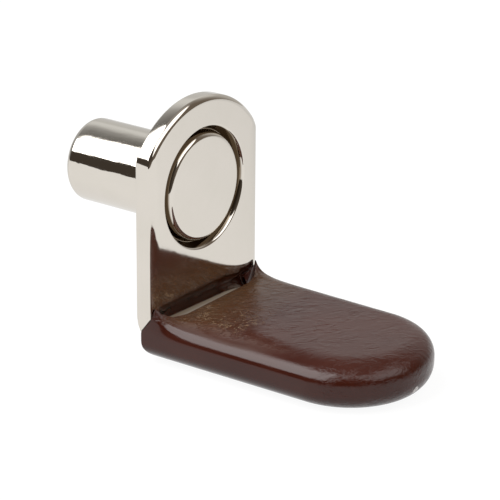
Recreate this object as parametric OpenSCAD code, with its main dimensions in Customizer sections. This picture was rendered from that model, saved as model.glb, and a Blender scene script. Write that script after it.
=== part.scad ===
// Shelf support: a bent steel bracket, a pin set flush in its plate,
// and a soft sleeve pushed over the arm that carries the shelf.
//
// Millimetres. The origin is on the pin's axis, at the back face of the plate,
// which is the face that seats against the cabinet side.
// +X points along the arm, into the cabinet; the pin points along -X; +Z is up.

/* [Pin] */
// Diameter of the shank, which pushes into the shelf hole
pin_d = 5; // [4:0.1:5.6]
// Length of the shank behind the plate
pin_l = 7.5; // [5:0.5:12]
// Rounding at the free end of the shank
pin_end_r = 0.4; // [0.2:0.05:1]
// Depth of the seat in the plate's back that the shank is let into
seat_depth = 0.1; // [0.05:0.01:0.15]
// Width of the shoulder between the shank and the spigot in the plate
shoulder_w = 0.4; // [0.2:0.05:0.6]
// Diameter of the flush head
head_d = 6.7; // [6.3:0.1:7.4]
// Thickness of the flush head
head_t = 0.6; // [0.5:0.05:0.7]
// Rounding of the head's rim, and of the recess that it sits in
seam_r = 0.4; // [0.1:0.02:0.46]

/* [Plate] */
// Width of the plate
plate_w = 10; // [9.6:0.1:12]
// Thickness of the steel
steel_t = 1.1; // [0.9:0.05:1.5]
// Height of the crown above the pin's axis
crown_rise = 5.43; // [5:0.1:8]
// Radius of the crown
crown_r = 6; // [5.6:0.1:7]
// Radius that softens the corner between the crown and each side
shoulder_r = 1.5; // [0.8:0.1:2.5]
// Rounding of the edges on the front and upper faces
front_edge_r = 0.33; // [0.1:0.01:0.4]
// Rounding of the edges on the back and lower faces
back_edge_r = 0.12; // [0.05:0.01:0.2]

/* [Arm] */
// Distance from the pin's axis down to the arm's upper face
arm_drop = 7.4; // [6.6:0.1:10]
// Distance from the plate's back face to the arm's tip
arm_reach = 15.25; // [11:0.25:22]
// Width of the arm
arm_w = 7.9; // [6:0.1:8.4]
// Inner radius of the bend
bend_r = 0.7; // [0.4:0.05:1]
// Height above the arm's upper face at which the plate starts to narrow
knuckle_rise = 0.8; // [0.7:0.05:1.2]
// Slope of the cut that narrows the plate to the arm, in degrees
knuckle_slope = 52; // [40:1:60]

/* [Sleeve] */
// Wall of the sleeve
sleeve_wall = 0.9; // [0.6:0.05:1.2]
// Gap between the sleeve and the steel inside it
sleeve_gap = 0.05; // [0.02:0.01:0.1]
// Rounding of the sleeve's upper rim
sleeve_top_r = 1.15; // [0.5:0.05:1.3]
// Rounding of the sleeve's lower rim
sleeve_bottom_r = 1.6; // [0.8:0.05:1.65]
// Distance from the plate to the middle of the sleeve's upper lip
lip_back = 1.05; // [0.8:0.05:2]
// Rounding of the corners of the upper lip
lip_corner_r = 0.8; // [0.4:0.1:1.2]
// Height of the two lip corners above the sleeve's upper face
ear_rise = 0.38; // [0.1:0.02:0.6]
// Radius of the lip corners
ear_r = 0.34; // [0.2:0.02:0.4]
// Distance that the lip corners run out along the arm
ear_run = 2; // [1:0.1:3]
// Distance from the plate's back face to the sleeve's heel
heel_back = 0.3; // [0.1:0.05:0.5]
// Rounding under the heel
heel_r = 1.3; // [0.5:0.1:1.4]

/* [Fits] */
// Radial clearance round the shank, the spigot and the head in the plate
pin_gap = 0.02; // [0.01:0.01:0.05]

/* [Hidden] */

nickel = [0.86, 0.83, 0.80];
brown = [0.29, 0.18, 0.16];

// Enough to pass clean through a face in a cut
over = 1;

// The crown meets each side at a corner. A wide arc, centred on the plate's
// centreline, cuts the corner back as far as a round of radius shoulder_r does.
crown_z = crown_rise - crown_r;
corner_z = crown_z + sqrt(pow(crown_r, 2) - pow(plate_w / 2, 2));
shoulder_tilt = atan2(corner_z - crown_z, plate_w / 2) / 2;
shoulder_z = corner_z - plate_w / 2 * tan(shoulder_tilt);
shoulder_cut = shoulder_r / cos(shoulder_tilt) - shoulder_r;
shoulder_reach = plate_w / 2 / cos(shoulder_tilt) - shoulder_cut;

spigot_r = pin_d / 2 - shoulder_w;

// The bend turns about an axis along Y
bend_x = steel_t + bend_r;
bend_z = bend_r - arm_drop;
arm_tip_x = arm_reach - arm_w / 2;

// The plate keeps its full width above this line
knuckle_z = knuckle_rise - arm_drop;

// Outside of the sleeve
sleeve_skin = sleeve_wall + sleeve_gap;
sleeve_w = arm_w + 2 * sleeve_skin;
sleeve_h = steel_t + 2 * sleeve_skin;
sleeve_top = sleeve_skin - arm_drop;
sleeve_bottom = sleeve_top - sleeve_h;

$fn = 96;

// A quarter of a disc, in the first quadrant
module quarter(r) {
    intersection() {
        circle(r);
        square(r);
    }
}

// Half of a strip's cross-section, from its middle out to its rim: X is the
// reach from the middle, Y the thickness, with the front face at the top.
module rim_profile(reach, thick, front_r, back_r) {
    translate([0, thick - front_r]) square([reach - front_r, front_r]);
    translate([0, back_r]) square([reach, thick - front_r - back_r]);
    square([reach - back_r, back_r]);
    translate([reach - front_r, thick - front_r]) quarter(front_r);
    translate([reach - back_r, back_r]) mirror([0, 1]) quarter(back_r);
}

// The whole cross-section of a strip, grown outwards by grow
module strip_profile(width, thick, front_r, back_r, grow = 0) {
    for (side = [0, 1])
        mirror([side, 0])
            translate([0, -grow])
                rim_profile(width / 2 + grow, thick + 2 * grow, front_r, back_r);
}

module steel_profile(width, grow = 0) {
    strip_profile(width, steel_t, front_edge_r, back_edge_r, grow);
}

// Turns a shape drawn flat, with its thickness up, to stand against X = 0
module stand() {
    rotate([90, 0, 90]) children();
}

// A steel disc that stands against X = 0 on the plate's centreline, with its
// rim rounded
module disc(r, centre_z) {
    stand()
        translate([0, centre_z, 0])
            rotate_extrude()
                rim_profile(r, steel_t, front_edge_r, back_edge_r);
}

// The strip, grown outwards by grow, standing against X = 0 from one height to
// another
module upright(width, from, to, grow = 0) {
    translate([0, 0, from])
        rotate([0, 0, 90])
            mirror([0, 1, 0])
                linear_extrude(to - from)
                    steel_profile(width, grow);
}

// The plate above the bend: the crown and two softened shoulders top the
// straight sides
module plate() {
    intersection() {
        upright(plate_w, shoulder_z, crown_rise + over);
        disc(crown_r, crown_z);
        disc(shoulder_reach, shoulder_z);
    }
    upright(plate_w, bend_z, shoulder_z);
}

// A quarter turn of the strip about the bend's axis
module bend(width, grow = 0) {
    translate([bend_x, 0, bend_z])
        rotate([90, 180, 0])
            rotate_extrude(angle = 90)
                translate([bend_x, 0])
                    rotate(90)
                        steel_profile(width, grow);
}

// The flat arm and its round tip
module flat_arm(grow = 0) {
    translate([bend_x, 0, -arm_drop - steel_t]) {
        rotate([90, 0, 90])
            linear_extrude(arm_tip_x - bend_x)
                steel_profile(arm_w, grow);
        translate([arm_tip_x - bend_x, 0, -grow])
            rotate(-90)
                rotate_extrude(angle = 180)
                    rim_profile(arm_w / 2 + grow, steel_t + 2 * grow, front_edge_r, back_edge_r);
    }
}

// Everything in front of and below the cut that narrows the plate
module below_knuckle() {
    depth = 2 * arm_drop;
    front = steel_t;
    back = -over;
    rotate([90, 0, 0])
        linear_extrude(2 * plate_w, center = true)
            polygon([
                [front, knuckle_z],
                [back, knuckle_z - (front - back) * tan(knuckle_slope)],
                [back, knuckle_z - depth],
                [arm_reach + over, knuckle_z - depth],
                [arm_reach + over, knuckle_z]
            ]);
}

// Stepped hole: a shallow seat for the shank, a way through for the spigot, and
// a recess with a rounded mouth for the head
module pin_hole() {
    recess_r = head_d / 2 + pin_gap;
    floor_x = steel_t - head_t;
    rotate([0, 90, 0]) {
        translate([0, 0, -over]) cylinder(r = pin_d / 2 + pin_gap, h = seat_depth + over);
        cylinder(r = spigot_r + pin_gap, h = steel_t);
        translate([0, 0, floor_x]) cylinder(r = recess_r, h = head_t + over);
        translate([0, 0, steel_t - seam_r])
            rotate_extrude()
                difference() {
                    square([recess_r + seam_r, seam_r + over]);
                    translate([recess_r + seam_r, 0]) circle(seam_r);
                }
    }
}

module bracket() {
    color(nickel)
        difference() {
            union() {
                difference() {
                    union() {
                        plate();
                        bend(plate_w);
                    }
                    below_knuckle();
                }
                upright(arm_w, bend_z, knuckle_z + over);
                bend(arm_w);
                flat_arm();
            }
            pin_hole();
        }
}

// Turned along X: the round-ended shank stops in its seat, the spigot passes
// through the plate, and the head closes it in the recess
module pin() {
    head_r = head_d / 2;
    color(nickel)
        rotate([0, 90, 0])
            rotate_extrude() {
                // Shank
                translate([0, -pin_l + pin_end_r])
                    square([pin_d / 2, pin_l - pin_end_r + seat_depth]);
                translate([0, -pin_l]) square([pin_d / 2 - pin_end_r, pin_end_r]);
                translate([pin_d / 2 - pin_end_r, -pin_l + pin_end_r])
                    mirror([0, 1]) quarter(pin_end_r);
                // Spigot
                square([spigot_r, steel_t - head_t]);
                // Head
                translate([0, steel_t - head_t]) square([head_r, head_t - seam_r]);
                translate([0, steel_t - seam_r]) square([head_r - seam_r, seam_r]);
                translate([head_r - seam_r, steel_t - seam_r]) quarter(seam_r);
            }
}

// The sleeve's outside, as a rounded slab with a half-round tip
module sleeve_slab() {
    tip_r = sleeve_w / 2;
    translate([heel_back, 0, sleeve_bottom]) {
        rotate([90, 0, 90])
            linear_extrude(arm_tip_x - heel_back)
                strip_profile(sleeve_w, sleeve_h, sleeve_top_r, sleeve_bottom_r);
        translate([arm_tip_x - heel_back, 0, 0])
            rotate(-90)
                rotate_extrude(angle = 180)
                    rim_profile(tip_r, sleeve_h, sleeve_top_r, sleeve_bottom_r);
    }
}

// The sleeve seen from the side: it butts against the plate, follows the cut
// that narrows the plate, and rounds off under the heel
module sleeve_side() {
    front = steel_t + sleeve_gap;
    cut_z = knuckle_z - (front - heel_back) * tan(knuckle_slope);
    far = arm_reach + sleeve_skin + over;
    rotate([90, 0, 0])
        linear_extrude(2 * sleeve_w, center = true) {
            polygon([
                [front, sleeve_top + over],
                [front, knuckle_z],
                [heel_back, cut_z],
                [heel_back, sleeve_bottom + heel_r],
                [heel_back + heel_r, sleeve_bottom + heel_r],
                [heel_back + heel_r, sleeve_bottom - over],
                [far, sleeve_bottom - over],
                [far, sleeve_top + over]
            ]);
            translate([heel_back + heel_r, sleeve_bottom + heel_r]) rotate(180) quarter(heel_r);
        }
}

// One corner of the lip, pushed up where the side wall meets the plate: it
// falls away to the side wall, along the rim, and across to the lip's middle
module ear() {
    x = steel_t + sleeve_gap + ear_r;
    y = sleeve_w / 2 - ear_r;
    hull($fn = 24) {
        translate([x, y - ear_r / 2, sleeve_top + ear_rise - ear_r]) sphere(ear_r);
        translate([x, y, sleeve_top - sleeve_top_r]) sphere(ear_r);
        translate([x + ear_run, y - ear_r, sleeve_top - sleeve_top_r / 2]) sphere(ear_r);
        translate([x + ear_r, y - sleeve_top_r, sleeve_top - ear_r]) sphere(ear_r);
    }
}

// Room for the arm, open behind so that the sleeve can be pushed on
module pocket() {
    width = arm_w + 2 * sleeve_gap;
    upright(arm_w, bend_z, sleeve_top + over, sleeve_gap);
    bend(arm_w, sleeve_gap);
    flat_arm(sleeve_gap);
    translate([-over, -width / 2, -arm_drop - steel_t - sleeve_gap])
        cube([bend_x + over, width, steel_t + 2 * sleeve_gap]);
}

// Cuts the upper wall back between the two lip corners
module lip_cut() {
    inner = lip_corner_r;
    front = steel_t + lip_back;
    span = arm_w - 2 * ear_r;
    translate([0, 0, -arm_drop])
        linear_extrude(sleeve_skin + ear_rise + over) {
            translate([-over, -span / 2]) square([front - inner + over, span]);
            translate([-over, -span / 2 + inner]) square([front + over, span - 2 * inner]);
            for (side = [-1, 1])
                translate([front - inner, side * (span / 2 - inner)]) circle(inner);
        }
}

module vinyl_sleeve() {
    color(brown)
        difference() {
            union() {
                intersection() {
                    sleeve_slab();
                    sleeve_side();
                }
                for (side = [0, 1]) mirror([0, side, 0]) ear();
            }
            pocket();
            lip_cut();
        }
}

bracket();
pin();
vinyl_sleeve();
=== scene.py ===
import bmesh
import bpy
import numpy as np
from mathutils import Matrix, Vector


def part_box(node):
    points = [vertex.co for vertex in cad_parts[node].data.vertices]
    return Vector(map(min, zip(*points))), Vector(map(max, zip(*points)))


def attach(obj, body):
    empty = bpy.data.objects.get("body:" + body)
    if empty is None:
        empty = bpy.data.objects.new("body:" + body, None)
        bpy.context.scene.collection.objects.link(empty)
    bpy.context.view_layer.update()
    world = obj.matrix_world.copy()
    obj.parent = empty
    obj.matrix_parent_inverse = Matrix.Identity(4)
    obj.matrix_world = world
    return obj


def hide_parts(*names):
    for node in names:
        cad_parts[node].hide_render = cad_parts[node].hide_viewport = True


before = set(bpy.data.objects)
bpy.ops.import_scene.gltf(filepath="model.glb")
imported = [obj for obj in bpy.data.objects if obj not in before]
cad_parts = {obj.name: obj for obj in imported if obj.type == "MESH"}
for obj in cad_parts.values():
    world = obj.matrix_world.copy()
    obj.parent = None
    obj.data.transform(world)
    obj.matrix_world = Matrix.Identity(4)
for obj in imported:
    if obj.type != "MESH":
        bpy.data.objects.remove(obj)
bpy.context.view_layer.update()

# %% [markdown]
# # A shelf support pin
#
# The object is a small L of nickel-plated steel. A round pin goes into a hole in the side of a
# cabinet, the plate leans on the cabinet wall, and the arm carries the shelf. The arm wears a
# sleeve of brown vinyl, so that the shelf neither slips nor rattles.
#
# Three pieces were modelled for fit: the bracket, the pin and the sleeve. Here each is made again
# as a finished surface, on the same axes and at the same sizes, and stands in for its plain twin.
#
# Sizes of shapes are in millimetres, and `MM` turns them into metres when a mesh is made. Blender
# itself works in metres, so places in the finishes and the edges of the table are in metres.

# %% Sizes shared by the pieces
MM = 0.001

STEEL_T = 1.1
PLATE_W = 10.0
ARM_W = 7.9
CROWN_TOP = 5.43
CROWN_R = 6.0
CROWN_Z = CROWN_TOP - CROWN_R
ARM_TIP = 15.25
ARM_END_X = ARM_TIP - ARM_W / 2
BEND_R = 0.7
BEND_X = STEEL_T + BEND_R
BEND_DROP = 6.7

for name in ("bracket", "pin", "vinyl_sleeve"):
    low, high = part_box(name)
    print(name, "spans", [round(v / MM, 2) for v in (*low, *high)], "mm")

# %% [markdown]
# ## Camera
#
# A long lens from well back keeps the small part's edges nearly parallel, as in a catalogue
# picture. The camera is placed by an orbit: an azimuth, an elevation and a distance from a point
# between the plate and the arm, and then a small slide sideways and up to frame the part. A Track
# To constraint could aim it as well, but the orbit also gives the slight roll, as one number.


# %% Set the camera
def orbit_axes(azimuth, elevation, roll):
    """Right, up and back of a camera that looks at its target from (azimuth, elevation), in degrees.

    back = (sin a cos e, -cos a cos e, sin e), right = (cos a, sin a, 0), up = back x right;
    then right and up are turned by the roll.
    """
    a, e, r = np.radians([azimuth, elevation, roll])
    back = np.array([np.sin(a) * np.cos(e), -np.cos(a) * np.cos(e), np.sin(e)])
    right = np.array([np.cos(a), np.sin(a), 0.0])
    up = np.cross(back, right)
    return (
        right * np.cos(r) + up * np.sin(r),
        up * np.cos(r) - right * np.sin(r),
        back,
    )


AZIMUTH, ELEVATION, ROLL = 37.112, 20.711, 0.427
TARGET = np.array([4.0, 0.0, -4.0])
DISTANCE = 144.53
SLIDE_RIGHT, SLIDE_UP = 0.316, 0.75
FOCAL_LENGTH = 180.19

right, up, back = orbit_axes(AZIMUTH, ELEVATION, ROLL)
eye = (TARGET + SLIDE_RIGHT * right + SLIDE_UP * up + DISTANCE * back) * MM

lens = bpy.data.cameras.new("studio_camera")
lens.sensor_width = 36
lens.lens = FOCAL_LENGTH
lens.clip_start = 0.005
lens.clip_end = 20
camera = bpy.data.objects.new("studio_camera", lens)
turn = Matrix([right, up, back]).transposed().to_4x4()
camera.matrix_world = Matrix.Translation(Vector(eye)) @ turn
bpy.context.scene.collection.objects.link(camera)
bpy.context.scene.camera = camera
print("camera at", np.round(eye, 4).tolist())

# %% [markdown]
# ## Building a skin from grids
#
# Every surface below is a grid of points, worked out as whole arrays. A piece needs several grids
# that meet along shared edges. Laying them into one mesh and merging the points that coincide
# closes the seams, and a grid whose row shrinks to a point closes as a pole.
#
# The same mesh could be modelled by hand from a few faces and a Subdivision Surface, but polished
# metal shows how such a surface wavers between its points. A formula puts every point in place.


# %% Turn grids of points into one closed mesh
MERGE_WITHIN = 1e-7  # metres, far below any detail


def grid_quads(rows, columns):
    """Corners of each cell of a grid, in order: (r, c), (r, c+1), (r+1, c+1), (r+1, c)."""
    at = np.arange(rows * columns).reshape(rows, columns)
    corners = [at[:-1, :-1], at[:-1, 1:], at[1:, 1:], at[1:, :-1]]
    return np.stack(corners, axis=-1).reshape(-1, 4)


def skin(name, grids, sharp_angle=38):
    """One object whose closed surface is the union of the grids, each an array (rows, columns, 3)."""
    points = np.concatenate([grid.reshape(-1, 3) for grid in grids]) * MM
    sizes = [grid.shape[0] * grid.shape[1] for grid in grids]
    starts = np.cumsum([0] + sizes[:-1])
    faces = np.concatenate([grid_quads(*g.shape[:2]) + s for g, s in zip(grids, starts)])

    mesh = bpy.data.meshes.new(name)
    mesh.from_pydata(points.tolist(), [], faces.tolist())
    body = bmesh.new()
    body.from_mesh(mesh)
    bmesh.ops.remove_doubles(body, verts=body.verts, dist=MERGE_WITHIN)
    bmesh.ops.recalc_face_normals(body, faces=body.faces)
    open_edges = sum(not edge.is_manifold for edge in body.edges)
    body.to_mesh(mesh)
    body.free()

    mesh.shade_smooth()
    mesh.set_sharp_from_angle(angle=np.radians(sharp_angle))
    piece = bpy.data.objects.new(name, mesh)
    bpy.context.scene.collection.objects.link(piece)
    print(name, "has", len(mesh.polygons), "faces and", open_edges, "open edges")
    return piece


# %% [markdown]
# ## The bracket, drawn flat and then bent
#
# A press makes this bracket from flat strip: it blanks the outline, punches the hole for the pin,
# and folds the arm. The mesh is made the same way. Each point has three blank coordinates: how far
# down the strip it is, how far across, and how deep in the thickness. One function folds the blank.
#
# The alternative is to cut a bent solid with booleans, but a mirror finish shows every sliver that
# a boolean leaves. Grids that follow the outline give clean reflections along each edge.


# %% Fold the blank
BEND_RUN = np.pi / 2 * (BEND_R + STEEL_T / 2)


def fold(down, across, depth):
    """Blank coordinates to the folded bracket.

    Above the bend, (x, z) = (depth, -down). In the bend, the strip turns about the axis at
    (BEND_X, -BEND_DROP) with the radius BEND_X - depth, through an angle that grows in step with
    down. Past a quarter turn it runs on along +X.
    """
    angle = np.clip((down - BEND_DROP) / BEND_RUN, 0, 1) * np.pi / 2
    past = np.maximum(down - BEND_DROP - BEND_RUN, 0)
    radius = BEND_X - depth
    x = BEND_X - radius * np.cos(angle) + past
    z = -np.minimum(down, BEND_DROP) - radius * np.sin(angle)
    return np.stack(np.broadcast_arrays(x, across, z), axis=-1)


def blend(start, stop, count, ease=0.0):
    """count numbers from start to stop; ease pulls them towards both ends, by a sine."""
    t = np.linspace(0, 1, count)
    return start + (stop - start) * (t - ease * np.sin(2 * np.pi * t) / (2 * np.pi))


def ease_in(t):
    """Smooth step: 0 below 0, 1 above 1, and 3t^2 - 2t^3 between."""
    t = np.clip(t, 0, 1)
    return t * t * (3 - 2 * t)


# %% [markdown]
# The strip is wide in the plate and narrow in the arm. The step between them is a slanting cut
# that starts at the front just above the bend, and reaches lower at the back, so where it crosses
# the strip depends on the depth. A boolean could make the cut after folding, but a row of points
# that already lies on the cut gives a clean, straight corner.


# %% Find the step between plate and arm
KNUCKLE_RISE = 0.1
KNUCKLE_SLOPE = np.tan(np.radians(52))


def step_down(depth):
    """How far down the blank the slanting cut crosses it, at each depth.

    The cut is the line z = -BEND_DROP + KNUCKLE_RISE - (STEEL_T - x) * slope. In the bend, with
    m = slope, it gives m cos a - sin a = K / r, so a = acos(K / (r sqrt(1 + m^2))) - atan(1 / m).
    """
    m = KNUCKLE_SLOPE
    k = KNUCKLE_RISE + BEND_R * m
    ratio = np.clip(k / ((BEND_X - depth) * np.hypot(1, m)), -1, 1)
    angle = np.arccos(ratio) - np.arctan(1 / m)
    straight = BEND_DROP - KNUCKLE_RISE + (STEEL_T - depth) * m
    return np.where(angle > 0, BEND_DROP + angle * BEND_RUN / (np.pi / 2), straight)


print("the step is", np.round(step_down(np.array([STEEL_T, 0.0])), 2), "mm down, front and back")

# %% [markdown]
# ### The edge all round
#
# The press rolls the front edge over. Along the straight sides it falls away slowly across the face
# and then drops into the side, like a quarter of a flat ellipse; round the crown it is a plain
# rounding. The back edge is nearly square, with a tiny round.
#
# A Bevel modifier would put one and the same round on every edge. Here the profile changes along
# the outline, so it is swept. The outline is one list of stations from the top of the crown down to
# the tip of the arm, and its mirror image. Each station knows which way is inwards, and the sweep
# moves it inwards by the profile's inset.

# %% Stations of the outline
SHOULDER_R = 1.3
JOIN_DOWN = 5.2


def half_outline(counts=(60, 20, 34, 8, 10, 16, 24)):
    """Stations as columns: down, share of the step, across, inward down, inward across, side share.

    A station lies at down + share * step. Crown: an arc of radius CROWN_R about CROWN_Z. Shoulder:
    an arc of SHOULDER_R that touches the crown and the straight side. Then the side, the step, the
    arm's side and the half-round tip. Arcs move inwards along their radii, and lines across.
    """
    across_c = PLATE_W / 2 - SHOULDER_R
    lift = np.sqrt((CROWN_R - SHOULDER_R) ** 2 - across_c**2)
    lean = np.arctan2(across_c, lift)
    end = BEND_DROP + BEND_RUN + ARM_END_X - BEND_X
    half_plate, half_arm = PLATE_W / 2, ARM_W / 2

    def run(t, *columns):
        return np.stack(np.broadcast_arrays(*columns, 0 * t)[:-1])

    t = [blend(0, 1, n) for n in counts]
    a, b, c = lean * t[0], lean + (np.pi / 2 - lean) * t[1], np.pi / 2 * t[6]
    crown_d, shoulder_d = -CROWN_Z - CROWN_R * np.cos(a), -CROWN_Z - lift - SHOULDER_R * np.cos(b)
    side_from = -CROWN_Z - lift
    far = t[5] ** 1.5
    parts = [
        run(t[0], crown_d, 0, CROWN_R * np.sin(a), np.cos(a), -np.sin(a), 0),
        run(t[1], shoulder_d, 0, across_c + SHOULDER_R * np.sin(b), np.cos(b), -np.sin(b), t[1]),
        run(t[2], side_from + (JOIN_DOWN - side_from) * t[2], 0, half_plate, 0, -1, 1),
        run(t[3], JOIN_DOWN * (1 - t[3]), t[3], half_plate, 0, -1, 1),
        run(t[4], 0, 1, half_plate + (half_arm - half_plate) * t[4], 0, -1, 1),
        run(t[5], end * far, 1 - far, half_arm, 0, -1, 1),
        run(t[6], end + half_arm * np.sin(c), 0, half_arm * np.cos(c), -np.sin(c), -np.cos(c), 1),
    ]
    marks = np.cumsum([part.shape[1] - 1 for part in parts])
    return np.concatenate([parts[0]] + [part[:, 1:] for part in parts[1:]], axis=1), marks


stations, marks = half_outline()
print("outline stations on each side:", stations.shape[1], "with marks", marks.tolist())

# %% Sweep the edge's profile round the outline
SIDE_ROLL = (0.80, 0.147)
CROWN_ROLL = (0.38, 0.33)
BACK_ROUND = 0.12

rolling = np.radians(np.linspace(0, 90, 17))[:, None]
down_0, step_share, across_0, inward_d, inward_a, side_share = stations
roll_wide, roll_deep = (c + (s - c) * ease_in(side_share) for s, c in zip(SIDE_ROLL, CROWN_ROLL))
inset = roll_wide * (1 - np.sin(rolling))
depth = STEEL_T - roll_deep * (1 - np.cos(rolling))
back_inset = BACK_ROUND * (1 - np.cos(rolling)) + 0 * roll_wide
back_depth = BACK_ROUND * (1 - np.sin(rolling)) + 0 * roll_wide
inset = np.concatenate([inset, back_inset])
depth = np.concatenate([depth, back_depth])

down = down_0 + step_share * step_down(depth) + inset * inward_d
across = across_0 + inset * inward_a
edge_band = [fold(down, side * across, depth) for side in (1, -1)]
print("edge profile of", len(inset), "points")

# %% [markdown]
# ### Front and back faces
#
# Each face is a flat mirror with a hole in it. One large polygon could fill it, but smooth shading
# would bend its reflection from the edges inwards. So it is laid with grids. Round the hole,
# straight rays run from its mouth to the outline, and their rows crowd together near both edges,
# which keeps the shading between them truly flat. Lower down, plain rows across the strip follow
# the fold. The two patches share one line of points across the plate.


# %% Lay the front and back faces
ARM_COLUMNS = 25
SIDE_COLUMNS = 10
RAY_STEPS = np.array([0, 0.012, 0.05, 0.2, 0.5, 0.8, 0.95, 0.988, 1])


def face_patches(row, hole_r):
    """The grids of one face: rays about the hole, rows across plate and arm, and the arm's tip.

    row picks the outline row that bounds the face: its first (front) or last (back). A ray point is
    rim + (outline - rim) * t, where rim is on the hole's circle in the same direction.
    """
    face_depth = depth[row, 0]
    d, a = down[row], across[row]
    join, step, ledge, arm_end = marks[2:6]
    inner = a[ledge] * blend(-1, 1, ARM_COLUMNS)
    outer = a[step] + (a[ledge] - a[step]) * blend(0, 1, SIDE_COLUMNS)
    wide = np.concatenate([-outer[:-1], inner, outer[-2::-1]])

    loop_d = np.concatenate([d[: join + 1], np.full(len(wide) - 2, d[join]), d[join:0:-1]])
    loop_a = np.concatenate([a[: join + 1], wide[-2:0:-1], -a[join:0:-1]])
    loop_d = np.append(loop_d, loop_d[0])
    loop_a = np.append(loop_a, loop_a[0])
    heading = np.arctan2(loop_a, -loop_d)
    ramp = RAY_STEPS[:, None]
    ray_d = -hole_r * np.cos(heading) * (1 - ramp) + loop_d * ramp
    ray_a = hole_r * np.sin(heading) * (1 - ramp) + loop_a * ramp
    rays = fold(ray_d, ray_a, face_depth)

    wide_rows = fold(d[join : step + 1, None], wide[None, :], face_depth)
    narrow_rows = fold(d[ledge : arm_end + 1, None], inner[None, :], face_depth)
    tip_angle = np.linspace(-np.pi / 2, np.pi / 2, 2 * (len(d) - 1 - arm_end) + 1)[:, None]
    radii = inner[ARM_COLUMNS // 2 :]
    tip = fold(d[arm_end] + radii * np.cos(tip_angle), radii * np.sin(tip_angle), face_depth)
    return [rays, wide_rows, narrow_rows, tip], heading


PIN_R = 2.5
FIT = 0.02
MOUTH_R = 3.77
front_grids, front_heading = face_patches(0, MOUTH_R)
back_grids, back_heading = face_patches(-1, PIN_R + FIT)
print("front rays:", len(front_heading), "back rays:", len(back_heading))

# %% [markdown]
# ### The stepped hole
#
# The pin's flat head lies flush in a recess, and both edges of the ring between them are rounded,
# which draws the fine double circle on the plate. A boolean could sink the hole, but it would leave
# slivers where it meets the face. Instead the hole is a turned surface: a profile of depths and
# radii, carried round by the rays' own headings so that it shares their points.

# %% Turn the hole
MOUTH_ROUND = 0.17
GROOVE_X, GROOVE_R = 0.8, 3.5
SEAT_X = 0.5
SHANK_END_X = 0.1
SPIGOT_R = 2.1
HEAD_ROOT_R = 3.35

arc = np.radians(np.linspace(0, 66, 15))
mouth_x = STEEL_T - MOUTH_ROUND * (1 - np.cos(arc))
mouth_r = MOUTH_R - MOUTH_ROUND * np.sin(arc)
hole_x = np.append(mouth_x, [GROOVE_X, SEAT_X, SEAT_X, SHANK_END_X, SHANK_END_X, 0.0])
hole_r = np.append(mouth_r, [GROOVE_R, *np.array([HEAD_ROOT_R, SPIGOT_R, SPIGOT_R, PIN_R, PIN_R]) + FIT])


def turned(x, r, heading):
    """A surface of revolution about X: each (x, r) carried round by the headings from +Z to +Y."""
    x, r = x[:, None], r[:, None]
    return np.stack(np.broadcast_arrays(x, r * np.sin(heading), r * np.cos(heading)), axis=-1)


to_back = np.clip(np.arange(len(hole_x)) - len(mouth_x), 0, 1)[:, None]
front_turn, back_turn = np.unwrap(front_heading), np.unwrap(back_heading)
hole_grid = turned(hole_x, hole_r, front_turn + (back_turn - front_turn) * to_back)
bracket = skin("bracket_plated", edge_band + front_grids + back_grids + [hole_grid])
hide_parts("bracket")
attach(bracket, "root")

# %% [markdown]
# ## The pin
#
# The pin is turned on a lathe, so its mesh is one profile carried round the X axis: a rounded free
# end, the shank, the thinner spigot through the plate, and the flush head with its rounded rim.
# The Screw modifier could turn the same profile. The function that turned the hole is used again,
# because then the pin and its hole are round in the same way and the gap between them is even.

# %% Turn the pin
PIN_TIP_X = -7.5
PIN_END_ROUND = 0.4
HEAD_FLAT_R = 2.93
HEAD_ROUND = 0.3
HEAD_SIDE_X, HEAD_SIDE_R = 0.75, 3.27

quarter = np.radians(np.linspace(0, 90, 15))
end_x = PIN_TIP_X + PIN_END_ROUND * (1 - np.sin(quarter))
end_r = PIN_R - PIN_END_ROUND * (1 - np.cos(quarter))
head_x = STEEL_T - HEAD_ROUND * (1 - np.cos(arc))
head_r = HEAD_FLAT_R + HEAD_ROUND * np.sin(arc)
shank_x = [-6.5, -4, -1.5, 0, SHANK_END_X]
joint_x = [SHANK_END_X, SEAT_X, SEAT_X, HEAD_SIDE_X]
joint_r = [SPIGOT_R, SPIGOT_R, HEAD_ROOT_R, HEAD_SIDE_R]
pin_x = np.concatenate([[PIN_TIP_X] * 2, end_x[::-1], shank_x, joint_x, head_x[::-1], [STEEL_T] * 3])
pin_r = np.concatenate([[0, 1.0], end_r[::-1], [PIN_R] * 5, joint_r, head_r[::-1], [2.8, 1.5, 0]])
round_trip = np.linspace(0, 2 * np.pi, 257)
pin = skin("pin_plated", [turned(pin_x, pin_r, round_trip)])
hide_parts("pin")
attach(pin, "root")

# %% [markdown]
# ## The vinyl sleeve
#
# The sleeve is soft vinyl, pushed on over the arm. Its skin is one profile, from the middle of the
# top, over the rounded rim, down the side and under to the middle of the bottom. It is carried
# along one side, round the tip, and back along the other side.
#
# Along the arm the profile is a moulded, regular shape. At the mouth it is not: the edge of the
# mouth was stretched over the knuckle of the bracket, and the plate has pushed its two corners up
# into small pointed ears. So the mouth's edge is drawn as a curve of its own, and the difference
# between it and the moulded shape fades out along the sleeve, as a stretched skin relaxes. The
# sleeve could also be sculpted, which is quicker for one soft shape, but then nothing would hold it
# to the steel inside, and no size of it could be changed alone.

# %% Sleeve sizes
SLEEVE_BOTTOM = -9.45
TIP_X = 11.46
TIP_R = 4.84
FLARE = 0.13
SHEAR = 0.022
SHEAR_RISE = 2.4
HEEL_R = 1.3
HEEL_X = 0.3
MOUTH_X = STEEL_T + 0.02
TOP_Z = -6.52

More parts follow.
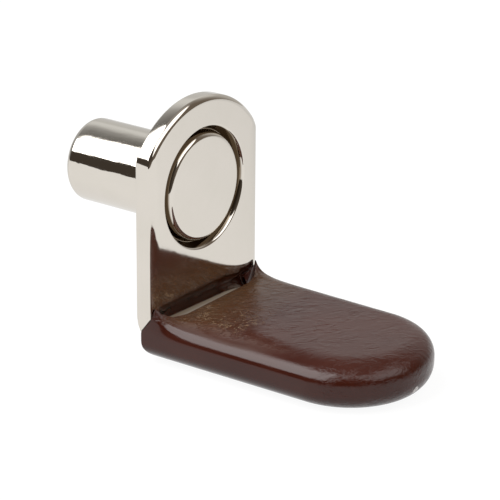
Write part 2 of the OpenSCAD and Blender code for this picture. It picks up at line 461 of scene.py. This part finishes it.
# %% [markdown]
# ### The moulded profile
#
# Its rows are the same all along, so that the grid lines run smoothly from the mouth to the tip:
# the flat of the top, the rim's arc, the side, the keel's arc and the bottom. The side at -Y is
# rounder than the other one, because the soft sleeve sits a little twisted on the arm. Arcs that
# share a tangent are chosen over a Bezier curve, because the highlight along the rim shows the
# radius, and a radius can be read and set.

# %% Rows of the profile
top_row = blend(0, 1, 48)
rim_row = blend(0, 1, 33)[1:]
side_row = blend(0, 1, 9)[1:]
keel_row = blend(0, np.pi / 2, 17)[1:]
bottom_row = blend(1, 0, 12)[1:]
row_ends = np.cumsum([len(r) for r in (top_row, rim_row, side_row, keel_row, bottom_row)])
top_part, rim_part, side_part = (slice(i, j) for i, j in zip([0, *row_ends], row_ends[:3]))

SOFT_TURN = np.radians(32)
EAR_TURN = np.radians(25)


def rows(values):
    """A list of values as a column, so that it varies down the rows of a grid."""
    return values[:, None]


def profile(half_width, rim_r, soft_r, keel_in, keel_up):
    """(q, z, nq, nz): reach and height of each row, and the outward direction there.

    The rim is two arcs that share a tangent: of radius soft_r until it has turned by SOFT_TURN, and
    of radius rim_r from there to upright. The top rows go on over the rim to EAR_TURN, where the
    ear is pulled from, and sit closer together there. Keel: a quarter of an ellipse of half-axes
    keel_in and keel_up. Each size is a number, or a row with one value for each station.
    """
    sizes = np.broadcast_arrays(half_width, rim_r, soft_r, keel_in, keel_up, np.zeros((1, 1)))
    half_width, rim_r, soft_r, keel_in, keel_up = sizes[:5]
    extra = soft_r - rim_r
    flat_end = half_width - rim_r - extra * np.sin(SOFT_TURN)
    flat_q = (flat_end + soft_r * np.sin(EAR_TURN)) * rows(1 - (1 - top_row) ** 1.5)
    top_t = np.arcsin(np.clip((flat_q - flat_end) / soft_r, 0, 1))
    rim_t = rows(EAR_TURN + (np.pi / 2 - EAR_TURN) * rim_row) + 0 * half_width
    rim_q = flat_end + rim_r * np.sin(rim_t) + extra * np.minimum(np.sin(rim_t), np.sin(SOFT_TURN))
    t = np.concatenate([top_t, rim_t])
    arc_z = TOP_Z - rim_r * (1 - np.cos(t)) - extra * (1 - np.maximum(np.cos(t), np.cos(SOFT_TURN)))
    side_from, side_to = arc_z[-1:], SLEEVE_BOTTOM + keel_up
    side_z = side_from + (side_to - side_from) * rows(side_row)
    keel_q = half_width - keel_in + keel_in * np.cos(rows(keel_row))
    keel_z = SLEEVE_BOTTOM + keel_up - keel_up * np.sin(rows(keel_row))
    low_q = (half_width - keel_in) * rows(bottom_row)
    q = np.concatenate([flat_q, rim_q, half_width + 0 * side_z, keel_q, low_q])
    z = np.concatenate([arc_z, side_z, keel_z, SLEEVE_BOTTOM + 0 * low_q])
    upright = np.append(0 * side_row, keel_row) + np.pi / 2
    turn = np.concatenate([t, rows(upright) + 0 * half_width, np.pi + 0 * low_q])
    return q, z, np.sin(turn), np.cos(turn)


NEAR = {"rim_r": 0.85, "soft_r": 3.2, "keel_in": 1.8, "keel_up": 1.14}
FAR = {"rim_r": 1.1, "soft_r": 1.5, "keel_in": 1.6, "keel_up": 1.6}
SIDES = ((-1, NEAR), (1, FAR))
print("sleeve profile of", row_ends[-1], "rows")

# %% [markdown]
# ### The edge of the mouth
#
# From above, the edge runs across behind a lip, turns forward to the plate at each side and climbs
# to the peak of an ear. From the side, it drops from the ear, follows the slanting cut of the
# plate, and rounds off under it as a heel. These two views are two short functions. Moving the
# rim's points by hand could give the same ears, but not an edge that surely clears the plate.

# %% The mouth's edge
LIP_X = 2.0
LIP_Y = 2.8
LIP_Z = -6.655
EAR_FOOT_Y = 3.95
EAR_FOOT_Z = -7.25
EAR_WAVE = 0.05
EAR_PEAKS = {-1: (4.66, -5.98), 1: (4.88, -5.97)}  # (q, z) of each side's ear


def lip_back(q, ear_y):
    """How far back the mouth's top edge is: LIP_X behind the lip, turning forward to the plate."""
    turn = np.clip((q - LIP_Y) / (ear_y - LIP_Y), 0, 1)
    return MOUTH_X + (LIP_X - MOUTH_X) * (1 - turn**1.5)


def side_mouth(z):
    """How far back the sleeve reaches at each height, seen from the side."""
    cut = MOUTH_X + (z + BEND_DROP - KNUCKLE_RISE) / KNUCKLE_SLOPE
    below = np.clip(z - SLEEVE_BOTTOM - HEEL_R, -HEEL_R, 0)
    heel = HEEL_X + HEEL_R - np.sqrt(HEEL_R**2 - below**2)
    return np.where(below < 0, heel, np.clip(cut, HEEL_X, MOUTH_X))


def lean(y, z):
    """The twist of the sleeve: z + shear * y, in full at the top and none at the bottom."""
    return z + SHEAR * y * ease_in((z - SLEEVE_BOTTOM) / SHEAR_RISE)


def mouth_edge(side, sizes):
    """(x, q, z) of the mouth's edge, a point for each row of the profile.

    Top rows: q grows to the ear's peak, and past EAR_FOOT_Y the height climbs from the lip to the
    peak by t^1.4, with a small wave on the way. Rim rows: out and down from the peak to the side.
    The rest follow the moulded profile at the mouth.
    """
    q, z, _, _ = (part[:, 0] for part in profile(np.array([[TIP_R + FLARE]]), **sizes))
    ear_y, ear_z = EAR_PEAKS[side]
    edge_q = ear_y * (1 - (1 - top_row) ** 1.5)
    climb = np.clip((edge_q - EAR_FOOT_Y) / (ear_y - EAR_FOOT_Y), 0, 1) ** 1.4
    q[top_part] = edge_q
    z[top_part] = LIP_Z + (ear_z - LIP_Z) * climb + EAR_WAVE * np.sin(2 * np.pi * climb)
    q[rim_part] = ear_y + (TIP_R + FLARE - ear_y) * np.sin(rim_row * np.pi / 2) ** 0.6
    z[rim_part] = ear_z - (ear_z - EAR_FOOT_Z) * rim_row**1.1
    z[side_part] = EAR_FOOT_Z + (z[side_part][-1] - EAR_FOOT_Z) * side_row
    x = side_mouth(lean(side * q, z))
    x[top_part] = lip_back(edge_q, ear_y)
    return x[:, None], q[:, None], z[:, None]


for side, sizes in SIDES:
    edge_x, edge_q, edge_z = mouth_edge(side, sizes)
    print("mouth on side", side, "spans x", edge_x.min().round(2), "to", edge_x.max().round(2))

# %% [markdown]
# ### The sides and the tip
#
# Stations crowd together at the mouth, where the edge is rolled in by a tenth of a millimetre. On
# one side a small crease runs along the rim from the ear. The whole top leans to one side, by a
# shear that fades out at the bottom. A lattice could pull the sleeve askew like this too, but the
# shear is one line of arithmetic and leaves the bottom flat on the table.

# %% Skin of both sides
EDGE_ROLL = 0.14
SIDE_EDGE_ROLL = 0.03
RELAX = 0.7
FOLD_HEIGHT, FOLD_WIDTH, FOLD_FADE = 0.06, 0.16, 1.8
FOLD_Q, FOLD_DRIFT = 4.75, 0.12
ROLL_ROWS = 9
SLEEVE_RUN = 10.0

past_top = np.arange(row_ends[-1])[:, None] - row_ends[0]
edge_roll = EDGE_ROLL + (SIDE_EDGE_ROLL - EDGE_ROLL) * ease_in(past_top / ROLL_ROWS)
near_mouth = (1 - np.cos(np.linspace(0, np.pi / 2, 9))) * EDGE_ROLL / SLEEVE_RUN
beyond = near_mouth[-1] + blend(0, 1, 50)[1:] ** 1.7 * (1 - near_mouth[-1])
stations = np.append(near_mouth, beyond)
sides, edges = [], []
for side, sizes in SIDES:
    edge_x, edge_q, edge_z = mouth_edge(side, sizes)
    x = edge_x + (TIP_X - edge_x) * stations
    widths = TIP_R + FLARE * (TIP_X - x) / (TIP_X - MOUTH_X)
    q, z, nq, nz = profile(widths[:1], **sizes)
    q = q * widths / widths[:1]
    fade = np.exp(-((x - edge_x) / RELAX))
    fade = fade - fade[:, -1:]
    q = q + (edge_q - q[:, :1]) * fade
    z = z + (edge_z - z[:, :1]) * fade
    if side < 0:
        away = x - edge_x
        crest = FOLD_Q - FOLD_DRIFT * away
        height = FOLD_HEIGHT * (np.exp(-away / FOLD_FADE) - np.exp(-away[:, -1:] / FOLD_FADE))
        z = z + height * np.exp(-(((q - crest) / FOLD_WIDTH) ** 2)) * (nz > -0.1)
    inward = np.clip(x - edge_x, 0, edge_roll)
    roll = edge_roll - np.sqrt(edge_roll**2 - (edge_roll - inward) ** 2)
    q, z = q - nq * roll, z - nz * roll
    sides.append(np.stack([x, side * q, lean(side * q, z)], axis=-1))
    edges.append((edge_x, q[:, :1], z[:, :1]))
print("side skins:", sides[0].shape)

# %% Skin of the tip
sweep = np.linspace(-np.pi / 2, np.pi / 2, 97)
share = ease_in(sweep / np.pi + 0.5)[None, :]
mixed = {key: NEAR[key] + (FAR[key] - NEAR[key]) * share for key in NEAR}
tip_q, tip_z, _, _ = profile(TIP_R + 0 * share, **mixed)
tip_y = tip_q * np.sin(sweep)
tip = np.stack([TIP_X + tip_q * np.cos(sweep), tip_y, lean(tip_y, tip_z)], axis=-1)
print("tip skin:", tip.shape)

# %% [markdown]
# ### Inside the sleeve
#
# The pocket is a second, smaller skin that clears the steel by a few hundredths. Near the plate its
# roof rises to clear the inside of the fold. A last band joins the two skins at the mouth. The
# Solidify modifier would give the vinyl one thickness all over, and its inside would then cut into
# the square steel at the corners, so the pocket is drawn to fit the arm.

# %% Skin of the pocket and band of the mouth
GAP = 0.05
IN_TOP = GAP - BEND_DROP - BEND_R
IN_BOTTOM = -GAP - BEND_DROP - BEND_R - STEEL_T
IN_W = ARM_W / 2 + GAP
IN_ROUND = 0.3
ROOF_W = 3.7
FLOOR_ROUND = 0.17
ROOF_FADE = 0.9
SETTLE_ROWS = 12

round_row = rim_row * np.pi / 2
pocket_q = np.concatenate(
    [ROOF_W * top_row, ROOF_W + IN_ROUND * np.sin(round_row), IN_W + 0 * side_row]
    + [IN_W - FLOOR_ROUND * (1 - np.cos(keel_row)), (IN_W - FLOOR_ROUND) * bottom_row]
)[:, None]
wall_top = -IN_ROUND
wall_foot = IN_BOTTOM - IN_TOP + FLOOR_ROUND


def pocket_roof(x):
    """Height of the pocket's roof: flat over the arm, and an arc that clears the fold."""
    back_x = np.minimum(x, BEND_X) - BEND_X
    rise = -BEND_DROP - np.sqrt(np.clip((BEND_R - GAP) ** 2 - back_x**2, 0, None))
    return np.where(x < BEND_X, np.maximum(rise, IN_TOP), IN_TOP)


def pocket_height(x):
    """Heights of the pocket's rows: its roof, a round, the wall, a round and its floor.

    Where the roof rises, the rows below it rise too, less and less down to ROOF_FADE below it.
    """
    top_round = -IN_ROUND * (1 - np.cos(round_row))
    wall = wall_top + (wall_foot - wall_top) * side_row
    foot_round = wall_foot - FLOOR_ROUND * np.sin(keel_row)
    floor = IN_BOTTOM - IN_TOP + 0 * bottom_row
    arcs = np.concatenate([0 * top_row, top_round, wall, foot_round, floor])[:, None]
    raised = pocket_roof(x) - IN_TOP
    return IN_TOP + arcs + raised * ease_in(1 + arcs / ROOF_FADE)


pocket_mouth = lip_back(pocket_q, EAR_PEAKS[-1][0])
low = past_top[:, 0] >= 0
pocket_mouth[low] = side_mouth(pocket_height(pocket_mouth)[low])
corner = pocket_mouth[row_ends[0] - 1]
settled = corner + (pocket_mouth - corner) * ease_in(past_top / SETTLE_ROWS)
pocket_mouth = np.where(low[:, None], settled, pocket_mouth)
inner_x = pocket_mouth + (ARM_END_X - pocket_mouth) * blend(0, 1, 30) ** 1.6
inner_z = pocket_height(inner_x)
inner_q = pocket_q + 0 * inner_x
pocket = [np.stack([inner_x, side * inner_q, inner_z], axis=-1) for side, _ in SIDES]
inner_sweep = np.linspace(-np.pi / 2, np.pi / 2, 49)
end_q, end_z = inner_q[:, -1:], inner_z[:, -1:]
pocket_tip = np.stack(
    np.broadcast_arrays(ARM_END_X + end_q * np.cos(inner_sweep), end_q * np.sin(inner_sweep), end_z),
    axis=-1,
)
print("pocket skin:", inner_x.shape)

# %% Join the two skins at the mouth
across_band = blend(0, 1, 9)[None, :]
mouth_band = []
for (side, _), (edge_x, edge_q, edge_z) in zip(SIDES, edges):
    outer = np.concatenate([edge_x, side * edge_q, lean(side * edge_q, edge_z)], axis=1)
    inner = np.concatenate([inner_x[:, :1], side * inner_q[:, :1], inner_z[:, :1]], axis=1)
    mouth_band.append(outer[:, None] + (inner - outer)[:, None] * across_band[..., None])
sleeve = skin("sleeve_vinyl", sides + [tip] + pocket + [pocket_tip] + mouth_band, sharp_angle=60)
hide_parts("vinyl_sleeve")
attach(sleeve, "root")

# %% [markdown]
# ## Finishes
#
# A finish here is a small tree of nodes. `wire` makes a node, sets its inputs by name and joins the
# ones that come from other nodes. The helpers after it are the steps that come up again and again,
# so that each finish below reads as a list of its steps. Painted images could carry the same marks,
# but noise stays sharp however near the camera comes, and needs no unwrapping.


# %% Helpers for node trees
def wire(tree, kind, settings=None, **inputs):
    """Add a node; settings are its attributes, and inputs are socket values or other sockets."""
    node = tree.nodes.new("ShaderNode" + kind)
    for key, value in (settings or {}).items():
        setattr(node, key, value)
    for key, value in inputs.items():
        socket = node.inputs[int(key[1:])] if key[1:].isdigit() else node.inputs[key.replace("_", " ")]
        if isinstance(value, bpy.types.NodeSocket):
            tree.links.new(value, socket)
        else:
            socket.default_value = value
    return node


def span(tree, value, start, stop, low=0.0, high=1.0, smooth=False):
    """Map a value's range from start to stop onto low to high, and hold it beyond; smooth eases it."""
    settings = {"interpolation_type": "SMOOTHSTEP"} if smooth else None
    limits = {"From_Min": start, "From_Max": stop, "To_Min": low, "To_Max": high}
    return wire(tree, "MapRange", settings, Value=value, **limits).outputs["Result"]


def product(tree, *factors):
    """A product of values."""
    total = factors[0]
    for factor in factors[1:]:
        total = wire(tree, "Math", {"operation": "MULTIPLY"}, _0=total, _1=factor).outputs[0]
    return total


def noise(tree, place, scale, **more):
    """Procedural noise, from 0 to 1, at a place."""
    return wire(tree, "TexNoise", Vector=place, Scale=scale, **more).outputs["Fac"]


def two_tone(tree, value, first, second):
    """A colour between two, as a patchy value goes from 0.3 to 0.7."""
    ramp = wire(tree, "ValToRGB", Fac=value)
    for element, position, colour in zip(ramp.color_ramp.elements, (0.3, 0.7), (first, second)):
        element.position = position
        element.color = (*colour, 1)
    return ramp.outputs["Color"]


def blend_colour(tree, share, base, over):
    """The base colour with another laid over it by a share."""
    over = over if isinstance(over, bpy.types.NodeSocket) else (*over, 1)
    return wire(tree, "Mix", {"data_type": "RGBA"}, _0=share, _6=base, _7=over).outputs[2]


def raised(tree, height, strength, distance, **under):
    """The normal of a relief of this height; Normal is the relief beneath it, if there is one."""
    bump = wire(tree, "Bump", Height=height, Strength=strength, Distance=distance, **under)
    return bump.outputs["Normal"]


def new_finish(name):
    """An empty material, its node tree and its object coordinates."""
    material = bpy.data.materials.new(name)
    material.use_nodes = True
    tree = material.node_tree
    tree.nodes.clear()
    return material, tree, wire(tree, "TexCoord").outputs["Object"]


# %% [markdown]
# ### Bright nickel
#
# Nickel plate is a warm, yellowish mirror. Its colour is that of its reflection, so the base colour
# is the metal's own, and the metallic slider is full. It isn't a perfect mirror: the polished steel
# underneath undulates a little, which bends reflections, and handling leaves a faint haze. The narrow
# groove round the pin's head is painted dark, as painted shade that stands in for the shade deep in
# the gap. A clear coat over a grey base would shine too, but its reflections would stay white and
# lose the warmth of the metal.
#
# The pin was turned and drawn, which leaves faint marks along its shank. They fray the edges of the
# reflections there, so the pin has its own version of the finish.


# %% Nickel
def nickel_finish(name, drawn):
    """Bright nickel; drawn adds long faint marks to everything behind the plate."""
    nickel, tree, place = new_finish(name)
    spot = wire(tree, "SeparateXYZ", Vector=place).outputs
    off_axis = wire(tree, "VectorMath", {"operation": "MULTIPLY"}, _0=place, _1=(0.0, 1.0, 1.0))
    radius = wire(tree, "VectorMath", {"operation": "LENGTH"}, _0=off_axis.outputs["Vector"])
    radius = radius.outputs["Value"]
    # Painted shade: a mask of the narrow groove round the pin's head, where the base colour is darkened.
    groove_shade = product(
        tree,
        span(tree, radius, 0.00305, 0.00312),
        span(tree, radius, 0.00362, 0.00368, 1.0, 0.0),
        span(tree, spot["X"], 0.00094, 0.00101, 1.0, 0.0),
        span(tree, spot["X"], 0.0002, 0.0004),
    )
    haze = noise(tree, place, 420.0, Detail=3.0, Roughness=0.6)
    tone = two_tone(tree, haze, (0.690, 0.650, 0.585), (0.715, 0.670, 0.610))
    swell = noise(tree, place, 700.0, Detail=2.0, Roughness=0.5)
    normal = raised(tree, swell, 0.6, 0.00001)
    if drawn:
        along = wire(tree, "Mapping", {"vector_type": "TEXTURE"}, Vector=place, Scale=(4.0, 1.0, 1.0))
        marks = noise(tree, along.outputs["Vector"], 2600.0, Detail=3.0)
        on_shank = span(tree, spot["X"], -0.0005, 0.0, 0.8, 0.0)
        normal = raised(tree, marks, on_shank, 0.00001, Normal=normal)
    metal = wire(
        tree,
        "BsdfPrincipled",
        # the dark colour laid over the groove is painted shade
        Base_Color=blend_colour(tree, groove_shade, tone, (0.26, 0.21, 0.155)),
        Metallic=1.0,
        Roughness=span(tree, haze, 0.3, 0.7, 0.045, 0.085),
        Normal=normal,
    )
    wire(tree, "OutputMaterial", Surface=metal.outputs["BSDF"])
    return nickel


bracket.data.materials.append(nickel_finish("bright_nickel", drawn=False))
pin.data.materials.append(nickel_finish("drawn_nickel", drawn=True))
print("nickel on", bracket.name, "and", pin.name)

# %% [markdown]
# ### Brown vinyl
#
# The vinyl is deep brown with a satin gloss. Next to the plate its top is a yellower brown: partly the
# skin stretched paler over the knuckle, and partly painted light, the warm light that the nickel plate
# throws and reflects onto it. At the tip it has a small pale nick. Both are laid over the base colour
# through masks, which are values from 0 to 1 that say where a thing is. A mask can be painted on the
# mesh, but one that is computed from the place stays right when the mesh changes.

# %% Masks and relief of the vinyl
vinyl, tree, place = new_finish("brown_vinyl")
spot = wire(tree, "SeparateXYZ", Vector=place).outputs
patch = noise(tree, place, 350.0, Detail=3.0)
on_top = span(tree, spot["Z"], -0.00695, -0.0066)
on_tip = span(tree, spot["X"], 0.0115, 0.013)
off_ears = span(tree, spot["X"], 0.0014, 0.0024)
# Next to the plate, on top: paler stretched skin, and painted light from the warm nickel plate.
stretched_and_plate_lit = product(tree, span(tree, spot["X"], 0.0025, 0.0065, 1.0, 0.0), on_top, off_ears)
crack_glint_zone = product(
    tree,
    span(tree, spot["X"], 0.0055, 0.008, 1.0, 0.0),
    span(tree, spot["Y"], -0.002, 0.002, 1.0, 0.1),
    on_top,
    off_ears,
)

NICK_AT = (0.01618, -0.00022, -0.00861)
from_nick = wire(tree, "VectorMath", {"operation": "DISTANCE"}, _0=place, _1=NICK_AT).outputs["Value"]
ragged = noise(tree, place, 12000.0, Detail=2.0)
ragged = wire(tree, "Math", {"operation": "MULTIPLY_ADD"}, _0=ragged, _1=0.0003, _2=from_nick).outputs[0]
nick = span(tree, ragged, 0.00036, 0.00040, 1.0, 0.0)
print("masks of the vinyl:", len(tree.nodes), "nodes")

# %% [markdown]
# Where the vinyl was stretched over the arm its skin has drawn into fine wrinkles. They are longer
# than they are wide and lie across the arm at a slant, so the noise behind them is turned and
# stretched before it is read. In the corner next to the plate thin cracks show: lines along which
# another noise passes through its middle value. This relief could be modelled, but it is so shallow
# that bump shows it just as well, without millions of faces. Along the cracks a gold-beige colour is
# painted too: a painted glint, which stands in for the plate's reflection caught in the crinkles.

# %% Wrinkles, cracks and painted glints
SLANT = (0.0, 0.0, np.radians(55))
slant = wire(tree, "Mapping", {"vector_type": "TEXTURE"}, Vector=place, Rotation=SLANT, Scale=(2, 1, 1))
slant = slant.outputs["Vector"]
wrinkle = noise(tree, slant, 2000.0, Detail=4.0, Roughness=0.6, Distortion=1.2)
uneven = span(tree, noise(tree, place, 900.0, Detail=2.0), 0.35, 0.65, 0.3, 1.5)
on_show = wire(tree, "Math", {"operation": "MAXIMUM"}, _0=on_top, _1=on_tip).outputs[0]
wrinkled = product(tree, span(tree, spot["X"], 0.006, 0.013, 0.7, 0.4), on_show, uneven)

crack_noise = noise(tree, slant, 2400.0, Detail=3.0, Distortion=1.0)
off_middle = wire(tree, "Math", {"operation": "SUBTRACT"}, _0=crack_noise, _1=0.5).outputs[0]
off_middle = wire(tree, "Math", {"operation": "ABSOLUTE"}, _0=off_middle).outputs[0]
crack_glint_line = span(tree, off_middle, 0.0, 0.045, 1.0, 0.0, smooth=True)
# Painted glint: a gold-beige colour along the crack lines, for the plate's reflection in the crinkles.
painted_glint = span(tree, product(tree, crack_glint_zone, crack_glint_line, uneven), 0.35, 1.5, 0.0, 0.8)
crack_depth = wire(tree, "Math", {"operation": "MULTIPLY_ADD"}, _0=on_tip, _1=0.18, _2=crack_glint_zone)

normal = raised(tree, noise(tree, place, 9000.0, Detail=2.0), 0.4, 0.000006)
normal = raised(tree, wrinkle, wrinkled, 0.00014, Normal=normal)
normal = raised(tree, crack_glint_line, crack_depth.outputs[0], 0.00004, Normal=normal)

# %% Vinyl
base = two_tone(tree, patch, (0.044, 0.0086, 0.0045), (0.054, 0.0114, 0.0060))
# The yellower brown of stretched skin, with painted warm light from the plate.
stretched_and_plate_lit_brown = two_tone(tree, patch, (0.078, 0.0290, 0.0085), (0.098, 0.0390, 0.0115))
colour = blend_colour(tree, stretched_and_plate_lit, base, stretched_and_plate_lit_brown)
colour = blend_colour(tree, nick, colour, (0.75, 0.72, 0.70))
# the painted glint along the cracks
colour = blend_colour(tree, painted_glint, colour, (0.36, 0.24, 0.14))
soft_skin = wire(
    tree,
    "BsdfPrincipled",
    Base_Color=colour,
    Roughness=span(tree, patch, 0.3, 0.7, 0.14, 0.20),
    IOR=1.43,
    Specular_IOR_Level=span(tree, spot["Z"], -0.0092, -0.0090, 0.0, 0.5),
    Normal=normal,
)
wire(tree, "OutputMaterial", Surface=soft_skin.outputs["BSDF"])
sleeve.data.materials.append(vinyl)
print("vinyl on", sleeve.name, "from", len(tree.nodes), "nodes")

# %% [markdown]
# ## Studio
#
# Polished metal shows its surroundings, so the studio is part of its look. Seen from the part, a
# bright box stands high at the left, a softer one hangs overhead towards the tip, and a pale sweep
# rises behind. Between them the room is dark and warm, which gives the metal its contrast.
#
# Area lamps could stand for the boxes, but a mirror would show their hard, even rectangles. All of
# the studio is far away compared with the part, so it can be painted on the world instead: each
# light is a patch of directions with soft edges, which lights the part and shows in it like a real
# soft box.


# %% Set up the world and the helpers for its patches of light
world = bpy.data.worlds.new("studio_room")
bpy.context.scene.world = world
world.use_nodes = True
room = world.node_tree
room.nodes.clear()
toward = wire(room, "TexCoord").outputs["Generated"]


def edge(value, start, stop, low=0.0, high=1.0):
    """Smooth step of a value, from low at start to high at stop."""
    return span(room, value, start, stop, low, high, smooth=True)


def along_axis(axis):
    """The direction's component along an axis."""
    return wire(room, "VectorMath", {"operation": "DOT_PRODUCT"}, _0=toward, _1=axis).outputs["Value"]


def sum_of(*terms):
    """A sum of constant * value; a term that is a plain number is added as it is."""
    total = 0.0
    for term in terms:
        factor, value = term if isinstance(term, tuple) else (1.0, term)
        total = wire(room, "Math", {"operation": "MULTIPLY_ADD"}, _0=value, _1=factor, _2=total)
        total = total.outputs[0]
    return total


def seen_on_plane(axis, side):
    """Where a direction meets the plane one unit out along axis, measured along side."""
    ahead = wire(room, "Math", {"operation": "MAXIMUM"}, _0=along_axis(axis), _1=0.04).outputs[0]
    return wire(room, "Math", {"operation": "DIVIDE"}, _0=along_axis(side), _1=ahead).outputs[0]


# %% The two soft boxes
LEFT_AXIS = (0.0, -0.602, 0.799)
u = seen_on_plane(LEFT_AXIS, (1.0, 0.0, 0.0))
v = seen_on_plane(LEFT_AXIS, (0.0, 0.799, 0.602))
left_box = product(
    room,
    edge(sum_of(u, (-0.12, v)), -1.0, -0.88),
    edge(u, 0.12, -0.06),
    edge(sum_of(v, (0.365, u)), 0.52, 0.45),
    edge(v, -0.45, -0.39),
    edge(along_axis(LEFT_AXIS), 0.05, 0.1),
)

ahead = seen_on_plane((0, 0, 1), (1, 0, 0))
aside = seen_on_plane((0, 0, 1), (0, 1, 0))
top_box = product(
    room,
    edge(ahead, 0.2, 0.4),
    edge(ahead, 2.1, 1.6),
    edge(sum_of(aside, (0.08, ahead)), -0.58, -0.44),
    edge(sum_of(aside, (-0.18, ahead)), 0.58, 0.46),
    edge(along_axis((0, 0, 1)), 0.1, 0.2),
)
print("two soft boxes")

# %% The sweep behind, the ceiling and the room
LEFT_STRENGTH = 4.6
TOP_STRENGTH = 2.0

high = along_axis((0, 0, 1))
behind = along_axis((-0.72, 0.69, 0.0))
shoulder = edge(sum_of(behind, (0.35, high)), 0.90, 1.03)
upper = product(room, edge(behind, 0.3, 0.6), edge(high, 0.38, 0.52))
sweep = product(
    room,
    sum_of((0.38, edge(behind, 0.0, 0.6)), (0.165, shoulder), (0.16, upper)),
    edge(high, 0.9, 0.58, 0.12, 1.0),
)
ceiling = edge(high, 0.78, 0.95, 0.0, 0.22)
pale = sum_of((LEFT_STRENGTH, left_box), (TOP_STRENGTH, top_box), ceiling)
warm = edge(along_axis((0.45, 0.85, 0.25)), -0.1, 0.8, 0.06, 0.17)

boxes = wire(room, "Background", Color=(1, 1, 1, 1), Strength=pale)
cool = wire(room, "Background", Color=(0.95, 0.99, 1.0, 1), Strength=sweep)
dark = wire(room, "Background", Color=(1.0, 0.80, 0.63, 1), Strength=warm)
lights = wire(room, "AddShader", _0=boxes.outputs[0], _1=cool.outputs[0])
metal_sees = wire(room, "AddShader", _0=lights.outputs[0], _1=dark.outputs[0])
white = wire(room, "Background", Color=(1, 1, 1, 1), Strength=1.0)
seen = wire(room, "LightPath").outputs["Is Camera Ray"]
sky = wire(room, "MixShader", Fac=seen, _1=metal_sees.outputs[0], _2=white.outputs[0])
wire(room, "OutputWorld", Surface=sky.outputs[0])
print("room of", len(room.nodes), "nodes")

# %% [markdown]
# ### The table
#
# The table is plain white. More light would make it white as well, but would bleach the part too.
# So, seen directly or in metal, it glows by itself and stays white right up to the horizon. The
# rest of its light is real, which keeps a soft shadow. Its front edge is near the part, so low
# reflections towards the viewer find the dark room beyond it.

# %% Table
TABLE_Z = SLEEVE_BOTTOM * MM
FRONT_EDGE = 0.085
FAR_EDGE = -3.0
HALF_WIDTH = 3.0
VIEWER_TURN = np.radians(-40)

viewer_way = np.array([np.cos(VIEWER_TURN), np.sin(VIEWER_TURN)])
side_way = np.array([-viewer_way[1], viewer_way[0]])
rims = [(FRONT_EDGE, -1), (FRONT_EDGE, 1), (FAR_EDGE, 1), (FAR_EDGE, -1)]
corners = [reach * viewer_way + side * HALF_WIDTH * side_way for reach, side in rims]
mesh = bpy.data.meshes.new("table")
mesh.from_pydata([(*corner, TABLE_Z) for corner in corners], [], [(0, 1, 2, 3)])
table = bpy.data.objects.new("table", mesh)
bpy.context.scene.collection.objects.link(table)

paper, tree, place = new_finish("white_table")
ray = wire(tree, "LightPath").outputs
seen = wire(tree, "Math", {"operation": "MAXIMUM"}, _0=ray["Is Camera Ray"], _1=ray["Is Glossy Ray"])
seen = wire(tree, "Math", {"operation": "MAXIMUM"}, _0=seen.outputs[0], _1=ray["Is Transmission Ray"])
back_way = wire(tree, "VectorMath", {"operation": "DOT_PRODUCT"}, _0=place, _1=(-0.6, 0.8, 0.0))
in_metal = span(tree, back_way.outputs["Value"], 0.0, 0.03, 0.88, 0.66)
level = span(tree, ray["Is Camera Ray"], 0.0, 1.0, in_metal, 0.93)
lit = wire(tree, "BsdfDiffuse", Color=(0.10, 0.10, 0.10, 1))
glow = wire(tree, "Emission", Color=(1, 1, 1, 1), Strength=level)
direct = wire(tree, "AddShader", _0=lit.outputs[0], _1=glow.outputs[0])
bounce = wire(tree, "BsdfDiffuse", Color=(0.5, 0.5, 0.5, 1))
mix = wire(tree, "MixShader", Fac=seen.outputs[0], _1=bounce.outputs[0], _2=direct.outputs[0])
wire(tree, "OutputMaterial", Surface=mix.outputs[0])
mesh.materials.append(paper)
print("table at", TABLE_Z, "m")

# %% [markdown]
# ## Finish
#
# The view transform is set to Standard, so that colours come out as written.

# %% Finish
bpy.context.scene.view_settings.view_transform = "Standard"
